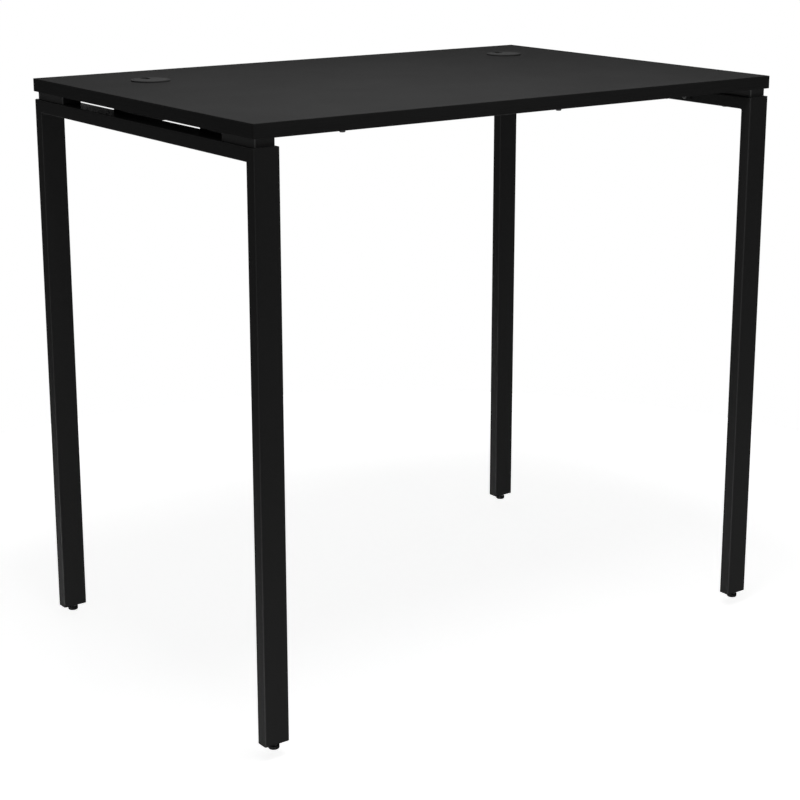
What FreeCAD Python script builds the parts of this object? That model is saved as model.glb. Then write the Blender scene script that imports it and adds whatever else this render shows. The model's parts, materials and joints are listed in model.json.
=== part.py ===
"""Fixed standing-height desk: a laminate top on spacers over two welded tube end frames, joined by two rails.

The origin is on the floor under the middle of the top. X runs along the desk, Y to its rear and Z up.
"""
import FreeCAD, Part
import os

import Sketcher

doc = FreeCAD.newDocument("standing_desk")
sheet = doc.addObject("Spreadsheet::Sheet", "Sizes")

# Driving dimensions, in millimetres
SIZES = (
    ("desk_height", "1100", "floor to worktop"),
    ("top_length", "1200", "worktop along X"),
    ("top_depth", "800", "worktop along Y"),
    ("top_thickness", "25", "worktop board"),
    ("band_thickness", "2", "edge band"),
    ("band_round", "1", "rounding of the band's outer edges"),
    ("frame_inset", "1", "end frames inside the worktop's edges"),
    ("gap_height", "15", "air gap between end frames and worktop"),
    ("tube_wide", "50", "leg and cross tube, along X"),
    ("tube_slim", "25", "leg and cross tube, narrow side"),
    ("tube_wall", "1.5", "leg and cross tube wall"),
    ("tube_corner", "3", "leg and cross tube outer corner radius"),
    ("weld_size", "5", "fillet weld in the frame's inner corners"),
    ("rail_width", "25", "rail along Y"),
    ("rail_wall", "1.5", "rail wall"),
    ("rail_corner", "2", "rail outer corner radius"),
    ("rail_spread", "314", "between the rails' centre lines"),
    ("rail_screw_spread", "520", "between the two screws of a rail"),
    ("flange_length", "160", "rail end flange, along Y"),
    ("flange_height", "20", "rail end flange either side of the rail"),
    ("flange_thickness", "5", "rail end flange plate"),
    ("flange_corner", "4", "rail end flange corner radius"),
    ("flange_bolt_spread", "134", "between the two bolts of a flange"),
    ("bolt_diameter", "8", "flange bolt"),
    ("bolt_reach", "15", "flange bolt past the flange"),
    ("bolt_head", "14", "flange bolt head diameter"),
    ("bolt_head_height", "4.4", "flange bolt head"),
    ("bolt_socket", "5", "hexagon socket across flats"),
    ("bolt_socket_depth", "2.6", "hexagon socket"),
    ("nut_diameter", "11", "rivet nut body"),
    ("nut_bulge", "14", "rivet nut collar behind the wall"),
    ("nut_bulge_length", "3", "rivet nut collar, along its axis"),
    ("nut_length", "17", "rivet nut"),
    ("spacer_width", "40", "corner spacer along X"),
    ("spacer_length", "104", "corner spacer along Y"),
    ("spacer_setback", "5", "corner spacer behind the frame's end"),
    ("spacer_corner", "4", "corner spacer corner radius"),
    ("spacer_wall", "2.5", "corner spacer wall, floor and rib"),
    ("spacer_boss", "14", "screw boss in the corner spacer"),
    ("spacer_screw_inset", "17", "first screw from the spacer's inner end"),
    ("spacer_screw_pitch", "50", "between a spacer's two screws"),
    ("screw_diameter", "6", "screw into the worktop"),
    ("screw_grip", "12", "screw inside the worktop"),
    ("screw_head", "12", "screw head diameter"),
    ("screw_head_height", "4", "screw head"),
    ("screw_socket", "4", "hexagon socket across flats"),
    ("screw_socket_depth", "2.2", "hexagon socket"),
    ("insert_diameter", "10", "threaded insert"),
    ("insert_length", "15", "threaded insert"),
    ("insert_spare", "1", "blind hole past the insert"),
    ("pad_diameter", "20", "foot pad"),
    ("pad_height", "7", "foot pad"),
    ("pad_floor", "2.5", "foot pad under the pin"),
    ("pad_round", "2", "foot pad lower edge"),
    ("pad_shoulder", "1", "foot pad upper edge"),
    ("pin_diameter", "6", "stem pin in the pad"),
    ("collar_across", "14", "hexagon collar across flats"),
    ("collar_height", "5", "hexagon collar"),
    ("stem_diameter", "8", "threaded stem"),
    ("stem_length", "30", "threaded stem above the collar"),
    ("stem_chamfer", "1", "threaded stem tip"),
    ("plug_flange", "2", "leg plug flange"),
    ("plug_depth", "20", "leg plug inside the tube"),
    ("plug_wall", "2", "leg plug wall"),
    ("bush_diameter", "12", "threaded bush in the plug"),
    ("bush_length", "16", "threaded bush in the plug"),
    ("bush_boss", "18", "plug boss round the bush"),
    ("grommet_side_inset", "163", "grommet centre from the worktop's end"),
    ("grommet_rear_inset", "170", "grommet centre from the worktop's rear edge"),
    ("grommet_hole", "60", "hole in the worktop"),
    ("grommet_flange", "75", "liner flange diameter"),
    ("grommet_rise", "2.8", "liner flange above the worktop"),
    ("grommet_round", "1.6", "liner flange outer edge"),
    ("liner_wall", "2", "liner sleeve wall"),
    ("liner_depth", "20", "liner sleeve below the worktop's face"),
    ("cap_diameter", "66", "recess for the cap in the flange"),
    ("cap_thickness", "1.8", "cap disc"),
    ("cap_skirt", "7", "cap skirt below the disc"),
    ("cap_skirt_wall", "1.6", "cap skirt wall"),
    ("cap_round", "0.5", "cap disc upper edge"),
    ("slot_width", "16", "cable slot in the cap"),
    ("slot_reach", "9", "cable slot's inner end from the cap's centre"),
    ("thread_clearance", "0.05", "radial gap of a thread or pin in its hole"),
    ("hole_clearance", "0.5", "radial gap round a screw or bolt"),
    ("fit_clearance", "0.3", "gap of a plug, liner or cap in its seat"),
)
for row, (alias, value, meaning) in enumerate(SIZES, 1):
    sheet.set(f"A{row}", meaning)
    sheet.set(f"B{row}", value)
    sheet.setAlias(f"B{row}", alias)
doc.recompute()

# Heights
UNDERSIDE = "(Sizes.desk_height - Sizes.top_thickness)"
FRAME_TOP = f"({UNDERSIDE} - Sizes.gap_height)"
FRAME_LOW = f"({FRAME_TOP} - Sizes.tube_slim)"
FRAME_MIDDLE = f"({FRAME_TOP} - Sizes.tube_slim / 2)"
RAIL_HEIGHT = "(Sizes.tube_slim + Sizes.gap_height)"
RAIL_MIDDLE = f"({UNDERSIDE} - {RAIL_HEIGHT} / 2)"
FOOT_HEIGHT = "(Sizes.pad_height + Sizes.collar_height)"
LEG_FOOT = f"({FOOT_HEIGHT} + Sizes.plug_flange)"

# Places along and across the desk
FRAME_X = "(Sizes.top_length / 2 - Sizes.frame_inset - Sizes.tube_wide / 2)"
FRAME_INNER_X = f"({FRAME_X} - Sizes.tube_wide / 2)"
FRAME_END_Y = "(Sizes.top_depth / 2 - Sizes.frame_inset)"
LEG_Y = f"({FRAME_END_Y} - Sizes.tube_slim / 2)"
RAIL_Y = "(Sizes.rail_spread / 2)"
RAIL_SCREW_X = "(Sizes.rail_screw_spread / 2)"
FLANGE_BOLT_Y = f"({RAIL_Y} + Sizes.flange_bolt_spread / 2)"
SPACER_Y = f"({FRAME_END_Y} - Sizes.spacer_setback - Sizes.spacer_length / 2)"
SPACER_INNER_Y = f"({SPACER_Y} - Sizes.spacer_length / 2)"
INNER_SCREW_Y = f"({SPACER_INNER_Y} + Sizes.spacer_screw_inset)"
OUTER_SCREW_Y = f"({INNER_SCREW_Y} + Sizes.spacer_screw_pitch)"
GROMMET_X = "(Sizes.top_length / 2 - Sizes.grommet_side_inset)"
GROMMET_Y = "(Sizes.top_depth / 2 - Sizes.grommet_rear_inset)"

# Sizes that follow from a fit
BOLT_HOLE = "(Sizes.bolt_diameter + 2 * Sizes.hole_clearance)"
BOLT_THREAD = "(Sizes.bolt_diameter + 2 * Sizes.thread_clearance)"
NUT_HOLE = "(Sizes.nut_diameter + 2 * Sizes.thread_clearance)"
SCREW_HOLE = "(Sizes.screw_diameter + 2 * Sizes.hole_clearance)"
SCREW_THREAD = "(Sizes.screw_diameter + 2 * Sizes.thread_clearance)"
INSERT_HOLE = "(Sizes.insert_diameter + 2 * Sizes.thread_clearance)"
INSERT_HOLE_DEPTH = "(Sizes.insert_length + Sizes.insert_spare)"
STEM_THREAD = "(Sizes.stem_diameter + 2 * Sizes.thread_clearance)"
STEM_HOLE = "(Sizes.stem_diameter + 2 * Sizes.hole_clearance)"
PIN_HOLE = "(Sizes.pin_diameter + 2 * Sizes.thread_clearance)"
BUSH_HOLE = "(Sizes.bush_diameter + 2 * Sizes.thread_clearance)"
LINER_OUTER = "(Sizes.grommet_hole / 2 - Sizes.fit_clearance)"
LINER_INNER = f"({LINER_OUTER} - Sizes.liner_wall)"
LEDGE = "(Sizes.grommet_rise - Sizes.cap_thickness)"
TOLERANCE = 1e-6

# Turns about an axis, in degrees
QUARTER_TURN_DEG = 90
HALF_TURN_DEG = 180
FULL_TURN_DEG = 360

# The screws through the spacers stand in pairs at the four corners, those through the rails one at each end
SPACER_SCREW_RUNS = (
    ("X_Axis", f"2 * {FRAME_X}"),
    ("Y_Axis", "Sizes.spacer_screw_pitch"),
    ("Y_Axis", f"{INNER_SCREW_Y} + {OUTER_SCREW_Y}"),
)
RAIL_SCREW_RUNS = (
    ("X_Axis", "Sizes.rail_screw_spread"),
    ("Y_Axis", "Sizes.rail_spread"),
)
FLANGE_BOLT_RUNS = (
    ("Y_Axis", "Sizes.flange_bolt_spread"),
    ("Y_Axis", "Sizes.rail_spread"),
)

# The two ends and two sides of the desk: name, sign along the axis, turn about Z
ENDS = (("left", "-", 0), ("right", "", HALF_TURN_DEG))
SIDES = (("front", "-", 0), ("rear", "", HALF_TURN_DEG))


def number(expression):
    """The present value of an expression on the sheet."""
    return float(sheet.evalExpression(expression))


def new_body(label, x="0", y="0", z="0", turn=0):
    """A body placed at x, y, z and turned about Z by some degrees."""
    body = doc.addObject("PartDesign::Body", label)
    body.Label = label
    up = FreeCAD.Vector(0, 0, 1)
    body.Placement = FreeCAD.Placement(FreeCAD.Vector(), FreeCAD.Rotation(up, turn))
    for axis, place in zip("xyz", (x, y, z)):
        body.setExpression(f"Placement.Base.{axis}", place)
    return body


def origin_feature(body, role):
    """One of the body's own origin planes or axes."""
    return next(feature for feature in body.Origin.OriginFeatures if feature.Role == role)


def sketch_on(body, name, plane="XY_Plane", lift="0"):
    """A sketch on an origin plane of the body, lifted along the plane's normal."""
    sketch = body.newObject("Sketcher::SketchObject", f"{body.Name}_{name}")
    sketch.AttachmentSupport = (origin_feature(body, plane), [""])
    sketch.MapMode = "FlatFace"
    sketch.setExpression("AttachmentOffset.Base.z", lift)
    return sketch


def tie(sketch, kind, *where, size):
    """Adds a dimension to a sketch and binds it to an expression."""
    index = sketch.addConstraint(Sketcher.Constraint(kind, *where, number(size)))
    sketch.setExpression(f"Constraints[{index}]", size)


def place_point(sketch, edge, point, x, y):
    """Holds a point of an edge at x, y from the sketch's origin."""
    for kind, axis, size in (("DistanceX", -2, x), ("DistanceY", -1, y)):
        if size == "0":
            sketch.addConstraint(Sketcher.Constraint("PointOnObject", edge, point, axis))
        else:
            tie(sketch, kind, -1, 1, edge, point, size=size)


def polygon(sketch, points):
    """A closed outline of straight edges through x, y pairs of expressions."""
    corners = [FreeCAD.Vector(number(x), number(y), 0) for x, y in points]
    edges = [
        sketch.addGeometry(Part.LineSegment(start, end))
        for start, end in zip(corners, corners[1:] + corners[:1])
    ]
    for edge, following in zip(edges, edges[1:] + edges[:1]):
        sketch.addConstraint(Sketcher.Constraint("Coincident", edge, 2, following, 1))
    for edge, (x, y) in zip(edges, points):
        place_point(sketch, edge, 1, x, y)


def rectangle(sketch, low_x, low_y, high_x, high_y):
    """A rectangle between two opposite corners."""
    polygon(sketch, ((low_x, low_y), (high_x, low_y), (high_x, high_y), (low_x, high_y)))


def circle(sketch, diameter, x="0", y="0"):
    """A circle about x, y."""
    centre = FreeCAD.Vector(number(x), number(y), 0)
    ring = sketch.addGeometry(Part.Circle(centre, FreeCAD.Vector(0, 0, 1), number(diameter) / 2))
    place_point(sketch, ring, 3, x, y)
    tie(sketch, "Diameter", ring, size=diameter)


def hexagon(sketch, across):
    """A regular hexagon about the origin, given across its flats."""
    half, side, point = f"{across} / 2", f"{across} / 2 / sqrt(3)", f"{across} / sqrt(3)"
    right = ((half, f"-{side}"), (half, side))
    left = ((f"-{half}", side), (f"-{half}", f"-{side}"))
    polygon(sketch, (*right, ("0", point), *left, ("0", f"-{point}")))


def rounded_rectangle(sketch, width, height, corner):
    """A rectangle about the origin with round corners."""
    half_width, half_height, radius = number(width) / 2, number(height) / 2, number(corner)
    quarter = FreeCAD.Units.Quantity(f"{QUARTER_TURN_DEG} deg").getValueAs("rad").Value
    arcs, lines = [], []
    signs = ((1, 1), (-1, 1), (-1, -1), (1, -1))
    for turn, (sign_x, sign_y) in enumerate(signs):
        centre = FreeCAD.Vector(sign_x * (half_width - radius), sign_y * (half_height - radius), 0)
        ring = Part.Circle(centre, FreeCAD.Vector(0, 0, 1), radius)
        arcs.append(Part.ArcOfCircle(ring, turn * quarter, (turn + 1) * quarter))
    for arc, following in zip(arcs, arcs[1:] + arcs[:1]):
        lines.append(Part.LineSegment(arc.EndPoint, following.StartPoint))
    arcs = [sketch.addGeometry(arc) for arc in arcs]
    lines = [sketch.addGeometry(line) for line in lines]
    for arc, line, following in zip(arcs, lines, arcs[1:] + arcs[:1]):
        sketch.addConstraint(Sketcher.Constraint("Tangent", arc, 2, line, 1))
        sketch.addConstraint(Sketcher.Constraint("Tangent", line, 2, following, 1))
    for arc in arcs[1:]:
        sketch.addConstraint(Sketcher.Constraint("Equal", arcs[0], arc))
    top, left, low, right = lines
    for line in (top, low):
        sketch.addConstraint(Sketcher.Constraint("Horizontal", line))
    for line in (left, right):
        sketch.addConstraint(Sketcher.Constraint("Vertical", line))
    sketch.addConstraint(Sketcher.Constraint("Symmetric", arcs[0], 3, arcs[2], 3, -1, 1))
    tie(sketch, "DistanceX", left, 1, right, 1, size=width)
    tie(sketch, "DistanceY", low, 1, top, 1, size=height)
    tie(sketch, "Radius", arcs[0], size=corner)


def tube_section(sketch, width, height, wall, corner):
    """The outer and inner outline of a rectangular tube."""
    rounded_rectangle(sketch, width, height, corner)
    rounded_rectangle(sketch, f"{width} - 2 * {wall}", f"{height} - 2 * {wall}", f"{corner} - {wall}")


def pad(body, sketch, length, centred=False, reverse=False):
    """Adds the sketch's area along its normal."""
    feature = body.newObject("PartDesign::Pad", f"{sketch.Name}_pad")
    feature.Profile = sketch
    feature.setExpression("Length", length)
    feature.Midplane = centred
    feature.Reversed = reverse
    doc.recompute()
    return feature


def pocket(body, sketch, depth=None, reverse=False):
    """Cuts the sketch's area to a depth against its normal, or right through both ways."""
    before = body.Shape.Volume
    feature = body.newObject("PartDesign::Pocket", f"{sketch.Name}_pocket")
    feature.Profile = sketch
    feature.Reversed = reverse
    if depth is None:
        feature.Type = "ThroughAll"
        feature.Midplane = True
    else:
        feature.setExpression("Length", depth)
    doc.recompute()
    if body.Shape.Volume > before - TOLERANCE:
        raise RuntimeError(f"{sketch.Name} cuts nothing")
    return feature


def revolve(body, sketch, axis="V_Axis"):
    """Turns the sketch's area about one of its axes."""
    feature = body.newObject("PartDesign::Revolution", f"{sketch.Name}_turned")
    feature.Profile = sketch
    feature.ReferenceAxis = (sketch, [axis])
    feature.Angle = FULL_TURN_DEG
    doc.recompute()
    return feature


def repeat(body, name, features, runs):
    """Doubles features along each run, an axis and a distance."""
    grid = body.newObject("PartDesign::MultiTransform", f"{body.Name}_{name}")
    grid.Originals = features
    steps = []
    for count, (axis, distance) in enumerate(runs, 1):
        step = body.newObject("PartDesign::LinearPattern", f"{body.Name}_{name}_run_{count}")
        step.Direction = (origin_feature(body, axis), [""])
        step.Occurrences = 2
        step.setExpression("Length", distance)
        steps.append(step)
    grid.Transformations = steps
    body.Tip = grid
    doc.recompute()
    return grid


def round_edges(body, feature, radius, chosen):
    """Rounds those edges of a feature that the chosen function accepts."""
    names = [f"Edge{count}" for count, edge in enumerate(feature.Shape.Edges, 1) if chosen(edge)]
    if not names:
        raise RuntimeError(f"{feature.Name} has no edge to round")
    fillet = body.newObject("PartDesign::Fillet", f"{feature.Name}_rounded")
    fillet.Base = (feature, names)
    fillet.setExpression("Radius", radius)
    doc.recompute()
    return fillet


def ring_at(radius, height):
    """Accepts the circular edge about Z of a given radius at a given height."""

    def chosen(edge):
        round_edge = isinstance(edge.Curve, Part.Circle)
        return (
            round_edge
            and abs(edge.Curve.Radius - number(radius)) < TOLERANCE
            and abs(edge.Curve.Center.z - number(height)) < TOLERANCE
        )

    return chosen


def make_desktop_panel():
    """The board, with its grommet holes and the blind holes for the threaded inserts."""
    body = new_body("desktop_panel", z=UNDERSIDE)
    board = sketch_on(body, "board")
    half_length = "(Sizes.top_length / 2 - Sizes.band_thickness)"
    half_depth = "(Sizes.top_depth / 2 - Sizes.band_thickness)"
    rectangle(board, f"-{half_length}", f"-{half_depth}", half_length, half_depth)
    pad(body, board, "Sizes.top_thickness")
    grommets = sketch_on(body, "grommets")
    for sign in "-+":
        circle(grommets, "Sizes.grommet_hole", f"{sign}{GROMMET_X}", GROMMET_Y)
    pocket(body, grommets)
    hole_sets = (
        ("spacer_holes", FRAME_X, OUTER_SCREW_Y, SPACER_SCREW_RUNS),
        ("rail_holes", RAIL_SCREW_X, RAIL_Y, RAIL_SCREW_RUNS),
    )
    for name, x, y, runs in hole_sets:
        hole = sketch_on(body, name)
        circle(hole, INSERT_HOLE, f"-{x}", f"-{y}")
        cut = pocket(body, hole, INSERT_HOLE_DEPTH, reverse=True)
        repeat(body, f"{name}_grid", [cut], runs)


def make_edge_band(label, length, x, y, turn, ends_show):
    """One edge band with its outer face on the body's XZ plane, rounded where it shows."""
    body = new_body(label, x, y, UNDERSIDE, turn)
    section = sketch_on(body, "section", "YZ_Plane")
    rectangle(section, "0", "0", "Sizes.band_thickness", "Sizes.top_thickness")
    strip = pad(body, section, length, centred=True)

    def outer(edge):
        start, end = (vertex.Point for vertex in edge.Vertexes)
        on_face = max(abs(start.y), abs(end.y)) < TOLERANCE
        if abs(start.x - end.x) > TOLERANCE:
            return on_face
        upright = abs(start.z - end.z) > TOLERANCE
        return ends_show and (on_face or not upright)

    round_edges(body, strip, "Sizes.band_round", outer)


def make_edge_bands():
    """Front and rear bands run the full length, the end bands lie between them."""
    for name, sign, turn in SIDES:
        make_edge_band(f"{name}_edge_band", "Sizes.top_length", "0", f"{sign}Sizes.top_depth / 2", turn, True)
    between = "(Sizes.top_depth - 2 * Sizes.band_thickness)"
    for name, sign, turn in ENDS:
        side_turn = turn - QUARTER_TURN_DEG
        make_edge_band(f"{name}_edge_band", between, f"{sign}Sizes.top_length / 2", "0", side_turn, False)


def make_leg(label, x, y, turn):
    """A leg tube, mitred at its top towards the cross tube."""
    body = new_body(label, x, y, "0", turn)
    section = sketch_on(body, "section", lift=LEG_FOOT)
    tube_section(section, "Sizes.tube_wide", "Sizes.tube_slim", "Sizes.tube_wall", "Sizes.tube_corner")
    pad(body, section, f"{FRAME_TOP} - {LEG_FOOT}")
    mitre = sketch_on(body, "mitre", "YZ_Plane")
    outside = ("-Sizes.tube_slim", f"{FRAME_TOP} + Sizes.tube_slim / 2")
    inside = ("Sizes.tube_slim", f"{FRAME_TOP} - 1.5 * Sizes.tube_slim")
    above = ("Sizes.tube_slim", f"{FRAME_TOP} + Sizes.tube_slim / 2")
    polygon(mitre, (outside, inside, above))
    pocket(body, mitre)


def make_cross_tube(label, x, turn):
    """A cross tube, mitred to the legs, with screw holes and rivet nut holes in its inner side."""
    body = new_body(label, x, "0", FRAME_MIDDLE, turn)
    section = sketch_on(body, "section", "XZ_Plane")
    tube_section(section, "Sizes.tube_wide", "Sizes.tube_slim", "Sizes.tube_wall", "Sizes.tube_corner")
    pad(body, section, f"2 * {FRAME_END_Y}", centred=True)
    for name, sign in (("front_mitre", "-"), ("rear_mitre", "")):
        mitre = sketch_on(body, name, "YZ_Plane")
        beyond = f"{sign}({FRAME_END_Y} + Sizes.tube_slim / 2)"
        within = f"{sign}({FRAME_END_Y} - 1.5 * Sizes.tube_slim)"
        polygon(mitre, ((beyond, "Sizes.tube_slim"), (within, "-Sizes.tube_slim"), (beyond, "-Sizes.tube_slim")))
        pocket(body, mitre)
    screw = sketch_on(body, "screw")
    circle(screw, SCREW_HOLE, "0", f"-{OUTER_SCREW_Y}")
    repeat(body, "screw_grid", [pocket(body, screw)], SPACER_SCREW_RUNS[1:])
    nut = sketch_on(body, "nut", "YZ_Plane", "Sizes.tube_wide / 2")
    circle(nut, NUT_HOLE, f"-{FLANGE_BOLT_Y}", "0")
    repeat(body, "nut_grid", [pocket(body, nut, "2 * Sizes.tube_wall")], FLANGE_BOLT_RUNS)


def make_frame_welds(label, x):
    """The fillet welds in the two inner corners of an end frame."""
    body = new_body(label, x)
    bead = sketch_on(body, "bead", "YZ_Plane")
    inner_y = number(f"{FRAME_END_Y} - Sizes.tube_slim")
    low, size = number(FRAME_LOW), number("Sizes.weld_size")
    corner = FreeCAD.Vector(-inner_y, low, 0)
    on_leg = FreeCAD.Vector(-inner_y, low - size, 0)
    on_tube = FreeCAD.Vector(size - inner_y, low, 0)
    hollow = Part.Circle(FreeCAD.Vector(size - inner_y, low - size, 0), FreeCAD.Vector(0, 0, 1), size)
    quarter = FreeCAD.Units.Quantity(f"{QUARTER_TURN_DEG} deg").getValueAs("rad").Value
    leg_side = bead.addGeometry(Part.LineSegment(on_leg, corner))
    tube_side = bead.addGeometry(Part.LineSegment(corner, on_tube))
    face = bead.addGeometry(Part.ArcOfCircle(hollow, quarter, 2 * quarter))
    bead.addConstraint(Sketcher.Constraint("Coincident", leg_side, 2, tube_side, 1))
    bead.addConstraint(Sketcher.Constraint("Tangent", tube_side, 2, face, 1))
    bead.addConstraint(Sketcher.Constraint("Tangent", face, 2, leg_side, 1))
    bead.addConstraint(Sketcher.Constraint("Vertical", leg_side))
    bead.addConstraint(Sketcher.Constraint("Horizontal", tube_side))
    place_point(bead, tube_side, 1, f"-({FRAME_END_Y} - Sizes.tube_slim)", FRAME_LOW)
    tie(bead, "Radius", face, size="Sizes.weld_size")
    front = pad(body, bead, "Sizes.tube_wide - 2 * Sizes.tube_corner", centred=True)
    both = body.newObject("PartDesign::Mirrored", f"{label}_both")
    both.Originals = [front]
    both.MirrorPlane = (origin_feature(body, "XZ_Plane"), [""])
    body.Tip = both


def make_end_frames():
    """Two end frames, each of two legs and a cross tube."""
    for end, sign_x, turn in ENDS:
        make_cross_tube(f"{end}_cross_tube", f"{sign_x}{FRAME_X}", turn)
        make_frame_welds(f"{end}_frame_welds", f"{sign_x}{FRAME_X}")
        for side, sign_y, side_turn in SIDES:
            make_leg(f"{end}_{side}_leg", f"{sign_x}{FRAME_X}", f"{sign_y}{LEG_Y}", side_turn)


def make_rail(label, y):
    """A rail between the end flanges, as deep as the cross tubes and the gap, with its two screw holes."""
    body = new_body(label, "0", y, RAIL_MIDDLE)
    section = sketch_on(body, "section", "YZ_Plane")
    tube_section(section, "Sizes.rail_width", RAIL_HEIGHT, "Sizes.rail_wall", "Sizes.rail_corner")
    pad(body, section, f"2 * ({FRAME_INNER_X} - Sizes.flange_thickness)", centred=True)
    screws = sketch_on(body, "screws")
    for sign in "-+":
        circle(screws, SCREW_HOLE, f"{sign}{RAIL_SCREW_X}")
    pocket(body, screws)


def make_flange(label, x, y, turn):
    """A rail end flange, bolted flat to the cross tube's inner side, with a tab that closes the rail's end."""
    body = new_body(label, x, y, FRAME_MIDDLE, turn)
    plate = sketch_on(body, "plate", "YZ_Plane")
    rounded_rectangle(plate, "Sizes.flange_length", "Sizes.flange_height", "Sizes.flange_corner")
    for sign in "-+":
        circle(plate, BOLT_HOLE, f"{sign}Sizes.flange_bolt_spread / 2")
    pad(body, plate, "Sizes.flange_thickness")
    tab = sketch_on(body, "tab", "YZ_Plane")
    half_width, half_tube = "Sizes.rail_width / 2", "Sizes.tube_slim / 2"
    rectangle(tab, f"-{half_width}", f"-{half_tube}", half_width, f"{half_tube} + Sizes.gap_height")
    pad(body, tab, "Sizes.flange_thickness")


def make_flange_bolts(label, x, y, turn):
    """The four flange bolts of one end, button heads with hexagon sockets."""
    body = new_body(label, x, y, FRAME_MIDDLE, turn)
    profile = sketch_on(body, "profile", "XZ_Plane")
    tip = "-(Sizes.flange_thickness + Sizes.bolt_reach)"
    shank, head = "Sizes.bolt_diameter / 2", "Sizes.bolt_head / 2"
    crown = "(Sizes.bolt_socket / sqrt(3) + Sizes.bolt_head / 2) / 2"
    outline = (
        (tip, "0"),
        (tip, shank),
        ("0", shank),
        ("0", head),
        ("Sizes.bolt_head_height / 2", head),
        ("Sizes.bolt_head_height", crown),
        ("Sizes.bolt_head_height", "0"),
    )
    polygon(profile, outline)
    bolt = revolve(body, profile, "H_Axis")
    socket = sketch_on(body, "socket", "YZ_Plane", "Sizes.bolt_head_height")
    hexagon(socket, "Sizes.bolt_socket")
    cut = pocket(body, socket, "Sizes.bolt_socket_depth")
    repeat(body, "grid", [bolt, cut], FLANGE_BOLT_RUNS)


def make_rivet_nuts(label, x, y, turn):
    """The four rivet nuts of one cross tube, flush outside and bulged behind the wall."""
    body = new_body(label, x, y, FRAME_MIDDLE, turn)
    profile = sketch_on(body, "profile", "XZ_Plane")
    bore, barrel, bulge = f"{BOLT_THREAD} / 2", "Sizes.nut_diameter / 2", "Sizes.nut_bulge / 2"
    behind_wall = "-Sizes.tube_wall"
    behind_bulge = "-(Sizes.tube_wall + Sizes.nut_bulge_length)"
    outline = (
        ("0", bore),
        ("0", barrel),
        (behind_wall, barrel),
        (behind_wall, bulge),
        (behind_bulge, bulge),
        (behind_bulge, barrel),
        ("-Sizes.nut_length", barrel),
        ("-Sizes.nut_length", bore),
    )
    polygon(profile, outline)
    repeat(body, "grid", [revolve(body, profile, "H_Axis")], FLANGE_BOLT_RUNS)


def make_rails():
    """Two rails with their end flanges, flange bolts and rivet nuts."""
    for side, sign_y, _ in SIDES:
        make_rail(f"{side}_rail", f"{sign_y}{RAIL_Y}")
    for end, sign_x, turn in ENDS:
        tube_face = f"{sign_x}{FRAME_INNER_X}"
        flange_face = f"{sign_x}({FRAME_INNER_X} - Sizes.flange_thickness)"
        first_bolt = f"{'' if turn else '-'}{FLANGE_BOLT_Y}"
        for side, sign_y, _ in SIDES:
            make_flange(f"{end}_{side}_rail_flange", tube_face, f"{sign_y}{RAIL_Y}", turn)
        make_flange_bolts(f"{end}_flange_bolts", flange_face, first_bolt, turn)
        make_rivet_nuts(f"{end}_rivet_nuts", tube_face, first_bolt, turn)


def make_corner_spacer(label, x, y, turn):
    """A moulded spacer, open upwards, with a rib and two screw bosses."""
    body = new_body(label, x, y, FRAME_TOP, turn)
    block = sketch_on(body, "block")
    rounded_rectangle(block, "Sizes.spacer_width", "Sizes.spacer_length", "Sizes.spacer_corner")
    pad(body, block, "Sizes.gap_height")
    hollow = sketch_on(body, "hollow", lift="Sizes.gap_height")
    inner_width = "Sizes.spacer_width - 2 * Sizes.spacer_wall"
    inner_length = "Sizes.spacer_length - 2 * Sizes.spacer_wall"
    rounded_rectangle(hollow, inner_width, inner_length, "Sizes.spacer_corner - Sizes.spacer_wall")
    pocket(body, hollow, "Sizes.gap_height - Sizes.spacer_wall")
    rib = sketch_on(body, "rib")
    half_rib, half_length = "Sizes.spacer_wall / 2", f"({inner_length}) / 2"
    rectangle(rib, f"-{half_rib}", f"-{half_length}", half_rib, half_length)
    pad(body, rib, "Sizes.gap_height")
    first = "(Sizes.spacer_length / 2 - Sizes.spacer_screw_inset)"
    places = (first, f"({first} - Sizes.spacer_screw_pitch)")
    bosses = sketch_on(body, "bosses")
    holes = sketch_on(body, "holes")
    for place in places:
        circle(bosses, "Sizes.spacer_boss", "0", place)
        circle(holes, SCREW_HOLE, "0", place)
    pad(body, bosses, "Sizes.gap_height")
    pocket(body, holes)


def make_screws(label, x, y, z, grip, runs):
    """Screws up into the worktop, with their heads below z and shanks through the grip."""
    body = new_body(label, x, y, z)
    profile = sketch_on(body, "profile", "XZ_Plane")
    shank, head = "Sizes.screw_diameter / 2", "Sizes.screw_head / 2"
    tip = f"{grip} + Sizes.screw_grip"
    face = "(Sizes.screw_socket / sqrt(3) + Sizes.screw_head / 2) / 2"
    outline = (
        ("0", tip),
        (shank, tip),
        (shank, "0"),
        (head, "0"),
        (head, "-Sizes.screw_head_height / 2"),
        (face, "-Sizes.screw_head_height"),
        ("0", "-Sizes.screw_head_height"),
    )
    polygon(profile, outline)
    screw = revolve(body, profile)
    socket = sketch_on(body, "socket", lift="-Sizes.screw_head_height")
    hexagon(socket, "Sizes.screw_socket")
    cut = pocket(body, socket, "Sizes.screw_socket_depth", reverse=True)
    repeat(body, "grid", [screw, cut], runs)


def make_rings(label, x, y, z, outer, inner, length, runs):
    """Plain round sleeves on end, repeated along the runs."""
    body = new_body(label, x, y, z)
    section = sketch_on(body, "section")
    circle(section, outer)
    circle(section, inner)
    repeat(body, "grid", [pad(body, section, length)], runs)


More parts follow.
